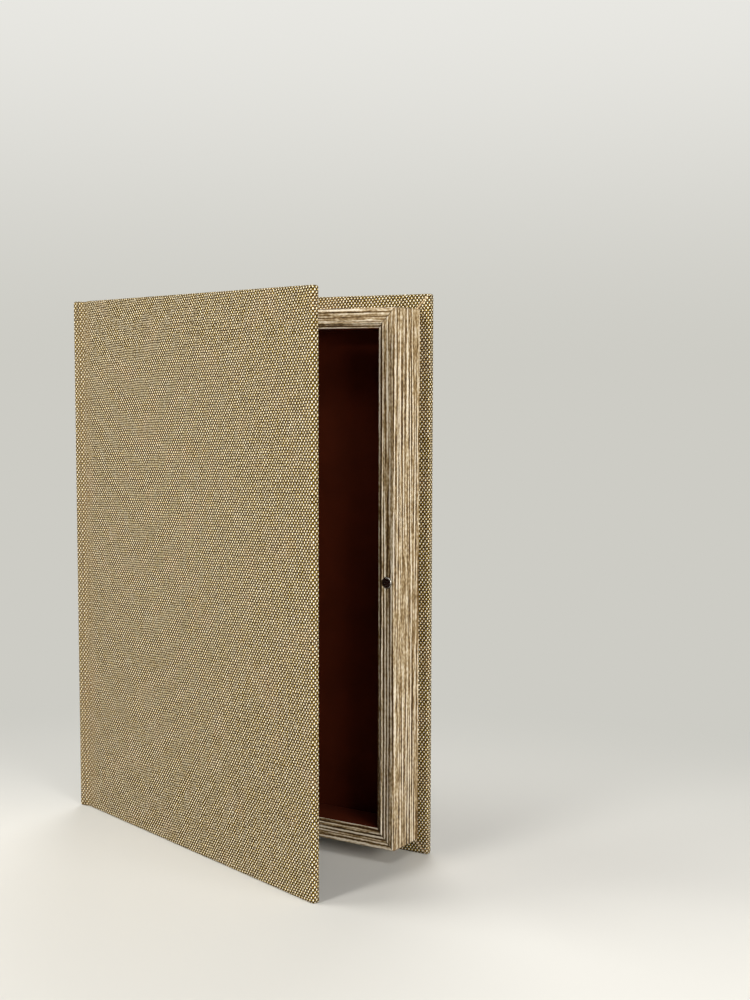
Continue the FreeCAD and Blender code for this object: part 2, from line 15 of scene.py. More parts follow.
import bmesh
import bpy
from bmesh.types import BMEdge, BMesh, BMFace
from bpy.types import ID, Material, Node, NodeSocket, NodeTree, Object, Scene
from mathutils import Matrix, Vector, noise


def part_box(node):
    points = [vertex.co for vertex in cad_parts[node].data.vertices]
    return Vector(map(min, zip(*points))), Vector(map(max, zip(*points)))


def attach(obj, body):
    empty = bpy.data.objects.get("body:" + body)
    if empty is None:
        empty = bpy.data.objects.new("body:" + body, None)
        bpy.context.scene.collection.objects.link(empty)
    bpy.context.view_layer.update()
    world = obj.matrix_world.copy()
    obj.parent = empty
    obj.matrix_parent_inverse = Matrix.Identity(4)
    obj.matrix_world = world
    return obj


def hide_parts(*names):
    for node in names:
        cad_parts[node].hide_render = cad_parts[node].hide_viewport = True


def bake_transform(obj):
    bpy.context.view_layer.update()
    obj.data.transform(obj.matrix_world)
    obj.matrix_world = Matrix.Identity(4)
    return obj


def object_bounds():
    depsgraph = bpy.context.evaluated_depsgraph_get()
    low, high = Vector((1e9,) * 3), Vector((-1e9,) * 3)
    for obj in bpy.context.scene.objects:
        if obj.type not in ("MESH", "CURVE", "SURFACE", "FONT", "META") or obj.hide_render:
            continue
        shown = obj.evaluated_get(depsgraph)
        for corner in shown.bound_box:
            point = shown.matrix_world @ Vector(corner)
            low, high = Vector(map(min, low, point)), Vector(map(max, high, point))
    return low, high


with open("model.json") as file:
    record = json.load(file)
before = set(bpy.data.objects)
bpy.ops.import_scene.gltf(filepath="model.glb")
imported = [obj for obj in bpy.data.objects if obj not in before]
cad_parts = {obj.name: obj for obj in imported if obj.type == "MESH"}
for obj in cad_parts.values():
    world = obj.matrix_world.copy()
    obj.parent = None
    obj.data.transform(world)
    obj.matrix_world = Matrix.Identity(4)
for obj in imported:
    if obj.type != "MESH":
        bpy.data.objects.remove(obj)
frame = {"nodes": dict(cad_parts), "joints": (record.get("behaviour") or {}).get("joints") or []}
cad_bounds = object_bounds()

LOG = logging.getLogger("book_box")
# Adds a node to one tree: add_node with its tree filled in
Adder = Callable[..., Node]
MM = 0.001
# Where most values of a noise texture lie, and where the middle ones do
NOISE_SPAN = (0.3, 0.7)
NOISE_MIDDLE = (0.35, 0.65)
# How near a cutting plane a vertex counts as lying on it
ON_PLANE = 1e-7
# The least product of two unit vectors that count as looking the same way
SAME_WAY = 0.99
THREAD_MAP = "thread"
FOLD_MAP = "fold"


def linear(colour: str) -> tuple[float, float, float, float]:
    """Turns an sRGB hex colour to linear light.

    Args:
        colour: Six hex digits after a hash.

    Returns:
        Red, green, blue and a full alpha, from 0 to 1.
    """
    channels = [int(colour[place : place + 2], 16) / 255 for place in (1, 3, 5)]
    red, green, blue = (
        channel / 12.92 if channel <= 0.04045 else ((channel + 0.055) / 1.055) ** 2.4
        for channel in channels
    )
    return red, green, blue, 1.0


def add_node(
    tree: NodeTree,
    kind: str,
    inputs: Sequence | dict | None = None,
    stops: Sequence[tuple[float, str]] = (),
    **settings: object,
) -> Node:
    """Adds a node, with its settings, values and links.

    Args:
        tree: The node tree.
        kind: The node's type, without the words ShaderNode.
        inputs: Values, sockets or nodes, in the order of the live sockets or by name.
        stops: Places and colours, where the node is a colour ramp.
        **settings: Properties of the node.

    Returns:
        The node.
    """
    node = tree.nodes.new(f"ShaderNode{kind}")
    for name, value in settings.items():
        setattr(node, name, value)
    if stops:
        ramp = node.color_ramp
        while len(ramp.elements) < len(stops):
            ramp.elements.new(1.0)
        for element, (place, colour) in zip(ramp.elements, stops):
            element.position = place
            element.color = linear(colour)
    live = [socket for socket in node.inputs if socket.enabled]
    pairs = inputs.items() if isinstance(inputs, dict) else enumerate(inputs or ())
    for key, value in pairs:
        socket = live[key] if isinstance(key, int) else node.inputs[key]
        if isinstance(value, Node):
            value = next(output for output in value.outputs if output.enabled)
        if isinstance(value, NodeSocket):
            tree.links.new(value, socket)
        elif value is not None:
            socket.default_value = value
    return node


class Grain(Enum):
    """Which way the grain of a length of moulding runs."""

    ACROSS = "across"
    UPRIGHT = "upright"


@dataclass(frozen=True)
class Finish:
    """What every finish shares: a name, and a tree that ends in one shader."""

    name: str

    def shade(self, add: Adder) -> Node:
        """Adds the finish's nodes and returns its shader."""
        raise NotImplementedError

    def material(self) -> Material:
        """Makes the material, or finds it if it is already there.

        Returns:
            The material.
        """
        known = bpy.data.materials.get(self.name)
        if known:
            return known
        made = bpy.data.materials.new(self.name)
        made.use_nodes = True
        tree = made.node_tree
        tree.nodes.clear()
        add = partial(add_node, tree)
        add("OutputMaterial", {"Surface": self.shade(add)})
        return made


@dataclass(frozen=True)
class BookCloth(Finish):
    """Linen-look upholstery canvas: matt two-tone plain weave, thick soft yarns.

    The pale warp stands up in ovals on a brown weft, so the cloth reads as a
    checkerboard of light grains, with painted shade in the corners between them.
    """

    name: str = "book_cloth_plain_weave"
    warp_pitch: float = 1.02 * MM
    weft_pitch: float = 1.25 * MM
    weft_slope: float = 0.055
    warp_slant: float = 0.035
    # How far the threads stray, over a short way and over a long one
    wander: float = 1.1 * MM
    wander_length: float = 8.333 * MM
    sway: float = 2.4 * MM
    sway_length: float = 111.11 * MM
    # The lean of each grain of the twisted warp, as a share of a thread's width
    twist: float = 0.15
    # How far threads swell at their middles and rise where they cross on top
    warp_swell: float = 0.5
    warp_rise: float = 0.5
    weft_swell: float = 0.6
    weft_rise: float = 0.4
    # Thick and thin places, in waves to a thread, and the fibres on them
    plump_waves: float = 0.8
    unevenness: float = 0.12
    fibre_waves: float = 6.0
    fuzz: float = 0.12
    thread_edge: float = 0.4
    # The heights at which the painted shade in a gap between threads is at its darkest, and gone
    painted_shade_heights: tuple[float, float] = (0.45, 0.87)
    relief: float = 0.4 * MM
    # How fast a thread's tone changes, per thread and per crossing along it
    tones_per_thread: float = 0.73
    tones_per_crossing: float = 0.11
    tone_seed: float = 3.1
    warp_pale: str = "#FAEFD3"
    warp_deep: str = "#E4D3AC"
    weft_pale: str = "#84691E"
    weft_deep: str = "#584204"
    # Painted shade: the colour that the low gaps between threads darken to
    painted_gap_shade: str = "#261400"
    blush: str = "#AC8262"
    blush_length: float = 22.222 * MM
    blush_span: tuple[float, float] = (0.52, 0.75)
    blush_share: float = 0.4
    worn: str = "#D0B48E"
    worn_share: float = 0.65
    pressed: str = "#857254"
    pressed_share: float = 0.3
    pressed_depth: float = 0.6
    joint: tuple[float, float] = (0.0, 0.0)
    joint_fades: tuple[float, float] = (2.0 * MM, 2.5 * MM)

    def shade(self, add: Adder) -> Node:
        """Adds the weave, its tones and its relief, and returns the shader.

        Args:
            add: Adds a node to the material.

        Returns:
            The shader node.
        """
        flat = add("UVMap", uv_map=THREAD_MAP)
        across, along = self.count_threads(add, flat)
        threads = add("CombineXYZ", [across, along, 0.0])
        plump = add("TexNoise", {"Vector": threads, "Scale": self.plump_waves, "Detail": 2.0})
        uneven = add("MapRange", [plump, *NOISE_SPAN, -self.unevenness, self.unevenness])
        warp_top, weft_top = self.thread_tops(add, across, along)
        crown = add("Math", [warp_top, weft_top], operation="MAXIMUM")
        top = add("Math", [crown, uneven], operation="ADD")

        weft = self.yarn(add, along, across, self.weft_deep, self.weft_pale)
        cloud = add("TexNoise", {"Vector": flat, "Scale": 1 / self.blush_length, "Detail": 3.0})
        flush = add("MapRange", [cloud, *self.blush_span, 0.0, self.blush_share])
        weft = add("Mix", [flush, weft, linear(self.blush)], data_type="RGBA")
        warp = self.yarn(add, across, along, self.warp_deep, self.warp_pale)
        ahead = add("Math", [warp_top, weft_top], operation="SUBTRACT")
        shows_warp = add("MapRange", [ahead, 0.0, self.thread_edge])
        yarn = add("Mix", [shows_warp, weft, warp], data_type="RGBA")
        # Painted shade: where neither thread stands high, the colour darkens to the gap's shade
        out_of_painted_shade = add("MapRange", [top, *self.painted_shade_heights])
        woven = add("Mix", [out_of_painted_shade, linear(self.painted_gap_shade), yarn], data_type="RGBA")

        # Folds rub pale, and the hot iron flattens the threads in the joint
        fold = add("Attribute", attribute_name=FOLD_MAP).outputs["Fac"]
        bared = add("Math", [fold, fold, uneven], operation="MULTIPLY_ADD")
        faded = add("Math", [bared, self.worn_share], operation="MULTIPLY", use_clamp=True)
        rubbed = add("Math", [faded, fold], operation="MINIMUM")
        paled = add("Mix", [rubbed, woven, linear(self.worn)], data_type="RGBA")
        iron = self.iron(add)
        flattened = add("Math", [iron, self.pressed_share], operation="MULTIPLY")
        seen = add("Mix", [flattened, paled, linear(self.pressed)], data_type="RGBA")

        fibre = add("TexNoise", {"Vector": threads, "Scale": self.fibre_waves, "Detail": 2.0})
        raised = add("Math", [fibre, self.fuzz, top], operation="MULTIPLY_ADD")
        sunk = add("Math", [iron, -self.pressed_depth, 1.0], operation="MULTIPLY_ADD")
        height = add("Math", [raised, sunk], operation="MULTIPLY")
        bump = add("Bump", {"Strength": 0.8, "Distance": self.relief, "Height": height})
        surface = {"Base Color": seen, "Roughness": 0.9, "Specular IOR Level": 0.03}
        return add("BsdfPrincipled", {**surface, "Normal": bump})

    def count_threads(self, add: Adder, flat: Node) -> tuple[NodeSocket, NodeSocket]:
        """Counts warp threads across the cloth and weft threads along it.

        Args:
            add: Adds a node to the material.
            flat: The place on the flat cloth.

        Returns:
            The two counts, which grow by 1 from thread to thread.
        """
        moved = (-0.5 * self.wander,) * 3
        for reach, length, detail in (
            (self.wander, self.wander_length, 2.0),
            (self.sway, self.sway_length, 1.0),
        ):
            drift = add("TexNoise", {"Vector": flat, "Scale": 1 / length, "Detail": detail})
            further = [drift.outputs["Color"], (reach,) * 3, moved]
            moved = add("VectorMath", further, operation="MULTIPLY_ADD")
        laid = add("VectorMath", [flat, moved], operation="ADD")
        # The weft climbs and the warp leans a little, as cloth does when glued by hand
        skew_across = (1 / self.warp_pitch, self.warp_slant / self.warp_pitch, 0.0)
        skew_along = (-self.weft_slope / self.weft_pitch, 1 / self.weft_pitch, 0.0)
        across, along = (
            add("VectorMath", [laid, skew], operation="DOT_PRODUCT").outputs["Value"]
            for skew in (skew_across, skew_along)
        )
        return across, along

    def thread_tops(self, add: Adder, across: NodeSocket, along: NodeSocket) -> tuple[Node, Node]:
        """Gives the threads their relief: each rises over every second one.

        Args:
            add: Adds a node to the material.
            across: The count of warp threads.
            along: The count of weft threads.

        Returns:
            The heights of the warp and of the weft.
        """
        turn_across, turn_along = (
            add("Math", [count, math.pi], operation="MULTIPLY") for count in (across, along)
        )
        # The warp is twisted, so each of its grains leans
        step = add("Math", [along], operation="FRACT")
        lean = self.twist * math.pi
        lean_on = add("Math", [step, -lean, 0.5 * lean], operation="MULTIPLY_ADD")
        leaned = add("Math", [turn_across, lean_on], operation="ADD")
        wave_across, wave_along, wave_leaned = (
            add("Math", [turn], operation="SINE") for turn in (turn_across, turn_along, leaned)
        )
        warp_round, weft_round = (
            add("Math", [wave], operation="ABSOLUTE") for wave in (wave_leaned, wave_along)
        )
        crossing = add("Math", [wave_across, wave_along], operation="MULTIPLY")
        over = add("Math", [crossing], operation="SIGN")
        tops = []
        for swell, own_round, rise, other_round in (
            (self.warp_swell, warp_round, self.warp_rise, weft_round),
            (self.weft_swell, weft_round, -self.weft_rise, warp_round),
        ):
            side = add("Math", [over, rise], operation="MULTIPLY")
            lift = add("Math", [side, other_round], operation="MULTIPLY")
            tops.append(add("Math", [own_round, swell, lift], operation="MULTIPLY_ADD"))
        warp_top, weft_top = tops
        return warp_top, weft_top

    def yarn(self, add: Adder, count: NodeSocket, way: NodeSocket, deep: str, pale: str) -> Node:
        """Colours threads, in tones that differ from one to the next and along each.

        Args:
            add: Adds a node to the material.
            count: The count of these threads.
            way: The count of the threads that cross them.
            deep: The darkest tone.
            pale: The palest tone.

        Returns:
            The colour.
        """
        number = add("Math", [count], operation="FLOOR")
        spread = add("Math", [number, self.tones_per_thread], operation="MULTIPLY")
        run = add("Math", [way, self.tones_per_crossing], operation="MULTIPLY")
        place = add("CombineXYZ", [spread, run, self.tone_seed])
        tone = add("TexNoise", {"Vector": place, "Scale": 1.0, "Detail": 2.0})
        share = add("MapRange", [tone, *NOISE_SPAN])
        return add("Mix", [share, linear(deep), linear(pale)], data_type="RGBA")

    def iron(self, add: Adder) -> Node:
        """Finds the joint, between two planes of X, where the cloth is ironed flat.

        Args:
            add: Adds a node to the material.

        Returns:
            A node that is 1 in the joint and 0 off it.
        """
        where = add("TexCoord").outputs["Object"]
        place = add("SeparateXYZ", [where]).outputs[0]
        near, far = self.joint
        near_fade, far_fade = self.joint_fades
        sides = [
            add("MapRange", [place, edge - way, edge + way], interpolation_type="SMOOTHSTEP")
            for edge, way in ((near, near_fade), (far, -far_fade))
        ]
        return add("Math", sides, operation="MULTIPLY")


@dataclass(frozen=True)
class GrainLayer:
    """One layer of streaks of the foil's print."""

    weight: float
    width: float
    length: float
    # How far this layer is moved across the grain, in streaks
    beside: float = 0.0


@dataclass(frozen=True)
class MouldingFoil(Finish):
    """Wood-grain foil wrapped round moulding: embossed, satin, driftwood brown.

    The grain runs along each length in fine pale and dark streaks, with a soft
    gloss on the ridges of the embossing.
    """

    grain: Grain = Grain.UPRIGHT
    offset: float = 0.0
    # The second layer is taken off the first, which leaves only its narrow streaks
    layers: tuple[GrainLayer, ...] = (
        GrainLayer(0.62, 0.85 * MM, 80.0 * MM),
        GrainLayer(-0.40, 0.85 * MM, 80.0 * MM, beside=1.05),
        GrainLayer(0.30, 0.90 * MM, 9.0 * MM),
        GrainLayer(0.22, 0.80 * MM, 1.8 * MM),
    )
    # How fast streaks pass by with depth, as a share of how fast across the grain
    depth_share: float = 0.75
    embossing: float = 0.25 * MM
    corner: tuple[float, float] = (0.0, 0.0)
    middle_of_frame: tuple[float, float] = (0.0, 0.0)
    # How far from its middle a mitre's joint line starts to fade, and ends
    mitre_fade: tuple[float, float] = (0.088 * MM, 0.352 * MM)
    mitre_share: float = 0.8
    mitre_depth: float = 0.5
    mitre_gap: str = "#3C2812"
    # The print's tones, from the grain's lowest level to its highest
    tones: tuple[tuple[float, str], ...] = (
        (0.285, "#3C2812"),
        (0.40, "#6A5230"),
        (0.495, "#917B58"),
        (0.58, "#BBA98B"),
        (0.71, "#DDD2BE"),
    )

    def shade(self, add: Adder) -> Node:
        """Adds the grain and its relief, and returns the shader.

        Args:
            add: Adds a node to the material.

        Returns:
            The shader node.
        """
        where = add("TexCoord").outputs["Object"]
        grain = self.streaks(add, where)
        tone = add("ValToRGB", [grain], stops=self.tones)
        line = self.mitre_line(add, where)
        seen = add("Mix", [line, tone, linear(self.mitre_gap)], data_type="RGBA")
        height = add("Math", [line, -self.mitre_depth, grain], operation="MULTIPLY_ADD")
        bump = add("Bump", {"Strength": 0.6, "Distance": self.embossing, "Height": height})
        surface = {"Base Color": seen, "Roughness": 0.5, "Specular IOR Level": 0.25}
        return add("BsdfPrincipled", {**surface, "Normal": bump})

    def streaks(self, add: Adder, where: NodeSocket) -> Node:
        """Mixes the layers, which run along the length and round its corners.

        Args:
            add: Adds a node to the material.
            where: The place in the part's frame.

        Returns:
            A node with the grain's level, about 0.5.
        """
        turn = (0.0, math.pi / 2, 0.0) if self.grain is Grain.ACROSS else (0.0,) * 3
        laid = add("Mapping", {"Vector": where, "Location": (self.offset,) * 3, "Rotation": turn})
        mixed = 0.5
        for layer in self.layers:
            width, length = layer.width, layer.length
            across, along = (
                add("VectorMath", [laid, way], operation="DOT_PRODUCT").outputs["Value"]
                for way in ((1 / width, self.depth_share / width, 0.0), (0.0, 0.0, 1 / length))
            )
            beyond = add("Math", [across, layer.beside], operation="ADD")
            place = add("CombineXYZ", [beyond, along, 0.0])
            lines = add(
                "TexNoise",
                {"Vector": place, "Scale": 1.0, "Detail": 0.0},
                noise_dimensions="2D",
            )
            level = add("Math", [lines, 0.5], operation="SUBTRACT")
            mixed = add("Math", [level, layer.weight, mixed], operation="MULTIPLY_ADD")
        return mixed

    def mitre_line(self, add: Adder, where: NodeSocket) -> Node:
        """Finds the joint lines, where two lengths of moulding meet at 45 degrees.

        Args:
            add: Adds a node to the material.
            where: The place in the part's frame.

        Returns:
            A node that is mitre_share on a joint line and 0 off it.
        """
        parts = add("SeparateXYZ", [where])
        insets = []
        for output, middle, reach in zip(
            (parts.outputs[0], parts.outputs[2]), self.middle_of_frame, self.corner
        ):
            moved = add("Math", [output, middle], operation="SUBTRACT")
            out = add("Math", [moved], operation="ABSOLUTE")
            insets.append(add("Math", [out, reach], operation="SUBTRACT"))
        lead = add("Math", insets, operation="SUBTRACT")
        off = add("Math", [lead], operation="ABSOLUTE")
        return add("MapRange", [off, *self.mitre_fade, self.mitre_share, 0.0])


@dataclass(frozen=True)
class SuedeLining(Finish):
    """Flocked rust-brown lining paper: a short nap, brushed a little unevenly.

    It has no gleam, so the well looks deep and soft.
    """

    name: str = "suede_lining_paper"
    light: str = "#4D1D0C"
    deep: str = "#3F1708"
    brushing: float = 26.32 * MM
    # The real nap is too fine to show, so it is drawn some ten times as coarse
    nap: float = 0.3846 * MM
    nap_height: float = 0.12 * MM
    brushed_share: float = 0.65

    def shade(self, add: Adder) -> Node:
        """Adds the nap and returns the shader.

        Args:
            add: Adds a node to the material.

        Returns:
            The shader node.
        """
        where = add("TexCoord").outputs["Object"]
        brushed = add("TexNoise", {"Vector": where, "Scale": 1 / self.brushing, "Detail": 4.0})
        nap = add("TexNoise", {"Vector": where, "Scale": 1 / self.nap, "Detail": 2.0})
        part = add("Math", [nap, 1 - self.brushed_share], operation="MULTIPLY")
        share = add("Math", [brushed, self.brushed_share, part], operation="MULTIPLY_ADD")
        spread = add("MapRange", [share, *NOISE_MIDDLE])
        seen = add("Mix", [spread, linear(self.deep), linear(self.light)], data_type="RGBA")
        bump = add("Bump", {"Strength": 0.35, "Distance": self.nap_height, "Height": nap})
        surface = {"Base Color": seen, "Roughness": 0.95, "Specular IOR Level": 0.05}
        return add("BsdfPrincipled", {**surface, "Normal": bump})


@dataclass(frozen=True)
class PressedBoard(Finish):
    """Raw pressed board or card: matt, with flecks of fibre."""

    light: str = "#9A958C"
    deep: str = "#7C776E"
    fleck: float = 1.6 * MM
    fleck_height: float = 0.1 * MM

    def shade(self, add: Adder) -> Node:
        """Adds the flecks and returns the shader.

        Args:
            add: Adds a node to the material.

        Returns:
            The shader node.
        """
        where = add("TexCoord").outputs["Object"]
        flecks = add("TexNoise", {"Vector": where, "Scale": 1 / self.fleck, "Detail": 5.0})
        share = add("MapRange", [flecks, *NOISE_MIDDLE])
        seen = add("Mix", [share, linear(self.deep), linear(self.light)], data_type="RGBA")
        bump = add("Bump", {"Strength": 0.3, "Distance": self.fleck_height, "Height": flecks})
        return add("BsdfPrincipled", {"Base Color": seen, "Roughness": 0.9, "Normal": bump})


@dataclass(frozen=True)
class PlatedMetal(Finish):
    """Nickel plate or drawn steel: bright metal with fine handling scratches.

    It mirrors the dark well and the pale paper, with a line of light on its rim.
    """

    light: str = "#C9C6BE"
    deep: str = "#8E8A82"
    roughness: float = 0.24
    scuffs: tuple[float, float] = (-0.08, 0.12)
    # Real scratches are finer. These are as coarse as they need to be to show
    scratch_length: float = 2.5 * MM
    scratch_width: float = 0.2381 * MM
    scratch_depth: float = 0.02 * MM
    axis: tuple[float, float, float] = (0.0, 0.0, 0.0)
    rim: float = 0.0
    chamfer: float = 0.5 * MM

    def shade(self, add: Adder) -> Node:
        """Adds the scratches and returns the shader.

        Args:
            add: Adds a node to the material.

        Returns:
            The shader node.
        """
        where = add("TexCoord").outputs["Object"]
        ways = (1 / self.scratch_length, 1 / self.scratch_length, 1 / self.scratch_width)
        drawn = add("Mapping", {"Vector": where, "Scale": ways})
        scratches = add("TexNoise", {"Vector": drawn, "Scale": 1.0, "Detail": 3.0})
        seen = add("Mix", [scratches, linear(self.deep), linear(self.light)], data_type="RGBA")
        gloss = (self.roughness + change for change in self.scuffs)
        scuffed = add("MapRange", [scratches, 0.0, 1.0, *gloss])
        bump = add("Bump", {"Strength": 0.1, "Distance": self.scratch_depth, "Height": scratches})
        if self.rim:
            bump = self.rounded_rim(add, where, bump)
        return add(
            "BsdfPrincipled",
            {"Base Color": seen, "Metallic": 1.0, "Roughness": scuffed, "Normal": bump},
        )

    def rounded_rim(self, add: Adder, where: NodeSocket, before: Node) -> Node:
        """Rounds the rim of a disc, where the plate catches a line of light.

        Args:
            add: Adds a node to the material.
            where: The place in the part's frame.
            before: The relief under the rim.

        Returns:
            The relief with its rim.
        """
        on_face = add("VectorMath", [where, (1.0, 0.0, 1.0)], operation="MULTIPLY")
        centre = (self.axis[0], 0.0, self.axis[2])
        out = add("VectorMath", [on_face, centre], operation="DISTANCE").outputs["Value"]
        fall = add("MapRange", [out, self.rim - self.chamfer, self.rim, 1.0, 0.0])
        return add(
            "Bump",
            {"Strength": 1.0, "Distance": self.chamfer, "Height": fall, "Normal": before},
        )


@dataclass(frozen=True)
class StudioPaper(Finish):
    """Pale paper under the box, which runs into the backdrop further away."""

    name: str = "studio_paper"
    near: str = "#D0CEC9"
    far: str = "#CDCCC5"
    pool: tuple[float, float, float] = (0.16, -0.26, 0.0)
    fade_start: float = 0.24
    fade_end: float = 0.62

    def shade(self, add: Adder) -> Node:
        """Adds the fade from lit paper to backdrop, and returns the shader.

        Args:
            add: Adds a node to the material.

        Returns:
            The shader node.
        """
        where = add("TexCoord").outputs["Object"]
        away = add("VectorMath", [where, self.pool], operation="DISTANCE").outputs["Value"]
        share = add(
            "MapRange",
            [away, self.fade_start, self.fade_end],
            interpolation_type="SMOOTHSTEP",
        )
        paper = add("BsdfPrincipled", {"Base Color": linear(self.near), "Roughness": 0.9})
        backdrop = add("Emission", {"Color": linear(self.far)})
        rays = add("LightPath").outputs
        plain = add("Math", [rays["Is Camera Ray"], rays["Is Glossy Ray"]], operation="MAXIMUM")
        faded = add("Math", [share, plain], operation="MULTIPLY")
        return add("MixShader", [faded, paper, backdrop])


@dataclass(frozen=True)
class ClothWrap:
    """How cloth turns round the edge of a board, in metres."""

    cloth: float = 0.7 * MM
    radius: float = 1.3 * MM
    turn_in: float = 15.0 * MM
    rounds: int = 6

    def past_edge(self, inside: float, depth: float, thick: float) -> float:
        """Follows the cloth over an edge of a board.

        Args:
            inside: How far the point lies inside the edge's end plane.
            depth: How far it lies under the outer face.
            thick: Thickness of the covered board.

        Returns:
            Length of cloth from the end plane, negative on the outer face.
        """
        beyond = self.radius - inside
        bend = self.radius * math.pi / 2
        if depth <= self.radius:
            if beyond <= 0:
                return -inside
            turn = math.atan2(beyond, self.radius - depth)
            return -self.radius + self.radius * turn
        low_bend = thick - self.radius
        if depth < low_bend:
            return bend + depth - 2 * self.radius
        turned = bend + thick - 3 * self.radius
        if beyond > 0:
            return turned + self.radius * math.atan2(depth - low_bend, beyond)
        return turned + bend - beyond


def start_box(low: Vector, high: Vector) -> BMesh:
    """Starts a mesh from one box.

    Args:
        low: Its lowest corner.
        high: Its highest corner.

    Returns:
        The mesh.
    """
    mesh = bmesh.new()
    centre, span = (low + high) / 2, high - low
    place = Matrix.Translation(centre) @ Matrix.Diagonal((*span, 1.0))
    bmesh.ops.create_cube(mesh, size=1.0, matrix=place)
    return mesh


def round_edges(mesh: BMesh, edges: Iterable, radius: float, rounds: int) -> None:
    """Rounds edges of a mesh.

    Args:
        mesh: The mesh.
        edges: Its edges to round.
        radius: The radius.
        rounds: How many faces go round a right angle.
    """
    bmesh.ops.bevel(
        mesh,
        geom=list(edges),
        offset=radius,
        offset_type="OFFSET",
        segments=rounds,
        profile=0.5,
        affect="EDGES",
        material=-1,
    )


def cut(
    mesh: BMesh,
    point: Sequence,
    normal: Sequence,
    faces: Sequence | None = None,
    clear: bool = False,
) -> None:
    """Cuts a mesh along a plane.

    Args:
        mesh: The mesh.
        point: A point of the plane.
        normal: The plane's direction.
        faces: The faces to cut, or all of them.
        clear: Whether what lies on the normal's side goes.
    """
    faces = mesh.faces[:] if faces is None else faces
    around = {part for face in faces for part in (*face.edges, *face.verts)}
    bmesh.ops.bisect_plane(
        mesh,
        geom=[*faces, *around],
        dist=ON_PLANE,
        plane_co=point,
        plane_no=normal,
        clear_outer=clear,
    )


def facing(mesh: BMesh, way: Vector) -> BMFace:
    """Finds the largest face that looks one way.

    Args:
        mesh: The mesh.
        way: The way, as a unit vector.

    Returns:
        The face.
    """
    mesh.normal_update()
    found = [face for face in mesh.faces if face.normal.dot(way) > SAME_WAY]
    return max(found, key=lambda face: face.calc_area())


def thicken(mesh: BMesh, cloth: float) -> None:
    """Gives a surface the cloth's thickness, inwards from its outer side."""
    bmesh.ops.solidify(mesh, geom=mesh.faces[:], thickness=cloth)


def move(mesh: BMesh, place: Matrix) -> None:
    """Moves, turns or mirrors a mesh, with its faces kept outwards.

    Args:
        mesh: The mesh.
        place: What is done to it.
    """
    bmesh.ops.transform(mesh, matrix=place, verts=mesh.verts[:])
    if place.determinant() < 0:
        bmesh.ops.reverse_faces(mesh, faces=mesh.faces[:])


def lay_threads(mesh: BMesh, place: Callable[[Vector, Vector], tuple[float, float]]) -> None:
    """Gives each corner of a mesh its place on the flat cloth, in metres.

    Args:
        mesh: The mesh.
        place: Turns a point and the middle of its face to a place on the cloth.
    """
    layer = mesh.loops.layers.uv.new(THREAD_MAP)
    for face in mesh.faces:
        middle = face.calc_center_median()
        for loop in face.loops:
            loop[layer].uv = place(loop.vert.co, middle)


def shift_threads(mesh: BMesh, start: float, way: float) -> None:
    """Moves a piece's place on the flat cloth, so that threads run on from its neighbour.

    Args:
        mesh: The mesh.
        start: Where the piece's own zero lies on the whole sheet.
        way: 1 or -1, as the piece runs along the sheet or against it.
    """
    layer = mesh.loops.layers.uv[THREAD_MAP]
    for face in mesh.faces:
        for loop in face.loops:
            across, along = loop[layer].uv
            loop[layer].uv = (start + way * across, along)


def join(mesh: BMesh, other: BMesh) -> None:
    """Adds one mesh to another, and frees the added one.

    Args:
        mesh: The mesh that grows.
        other: The mesh that is added.
    """
    passed = bpy.data.meshes.new("passed")
    other.to_mesh(passed)
    other.free()
    mesh.from_mesh(passed)
    bpy.data.meshes.remove(passed)


def smooth(share: float) -> float:
    """A share from 0 to 1, eased at both ends."""
    share = min(max(share, 0.0), 1.0)
    return share * share * (3 - 2 * share)


def inner_upright(edge: BMEdge, thick: float) -> bool:
    """Tells whether an edge of the spine's box runs up its inner side.

    Args:
        edge: The edge.
        thick: Thickness of the covered board.

    Returns:
        Whether it does.
    """
    first, last = (vertex.co for vertex in edge.verts)
    level = min(first.y, last.y) > thick / 2
    return level and abs(first.z - last.z) > thick


def look_from(azimuth: float, elevation: float) -> Vector:
    """Finds the way from the box to a lamp or the camera.

    Args:
        azimuth: Degrees round from the front.
        elevation: Degrees up from the level.

    Returns:
        The way, as a unit vector.
    """
    around, above = math.radians(azimuth), math.radians(elevation)
    level = Vector((math.sin(around), -math.cos(around), 0.0)) * math.cos(above)
    return level + Vector((0.0, 0.0, math.sin(above)))


def add_object(name: str, data: ID) -> Object:
    """Puts a mesh, a lamp or a camera into the scene.

    Args:
        name: The object's name.
        data: The mesh, lamp or camera.

    Returns:
        The object.
    """
    added = bpy.data.objects.new(name, data)
    bpy.context.scene.collection.objects.link(added)
    return added


def make_piece(
    name: str,
    mesh: BMesh,
    finish: Finish,
    slot: str,
    replaced: Sequence[str],
    body: str | None = None,
) -> Object:
    """Turns a mesh to a piece with its finish.

    Args:
        name: The piece's name.
        mesh: The mesh, in the part's frame. It is freed.
        finish: The finish.
        slot: Not used.
        replaced: CAD nodes that the piece stands for.
        body: The body that the piece rides on, if it has one.

    Returns:
        The piece.
    """
    data = bpy.data.meshes.new(name)
    for face in mesh.faces:
        face.smooth = True
    mesh.to_mesh(data)
    mesh.free()
    piece = add_object(name, data)
    data.materials.append(finish.material())
    normals = piece.modifiers.new("even_normals", "WEIGHTED_NORMAL")
    normals.keep_sharp = True
    if body:
        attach(piece, body)
    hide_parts(*replaced)
    LOG.info("%s: %d faces", name, len(data.polygons))
    return piece


def dress(node: str, finish: Finish) -> None:
    """Gives a CAD node its finish.

    Args:
        node: The node's name.
        finish: The finish.
    """
    piece = frame["nodes"][node]
    material = finish.material()
    if not piece.material_slots:
        piece.data.materials.append(material)
    for slot in piece.material_slots:
        slot.material = material
    LOG.info("%s: %s", node, finish.name)


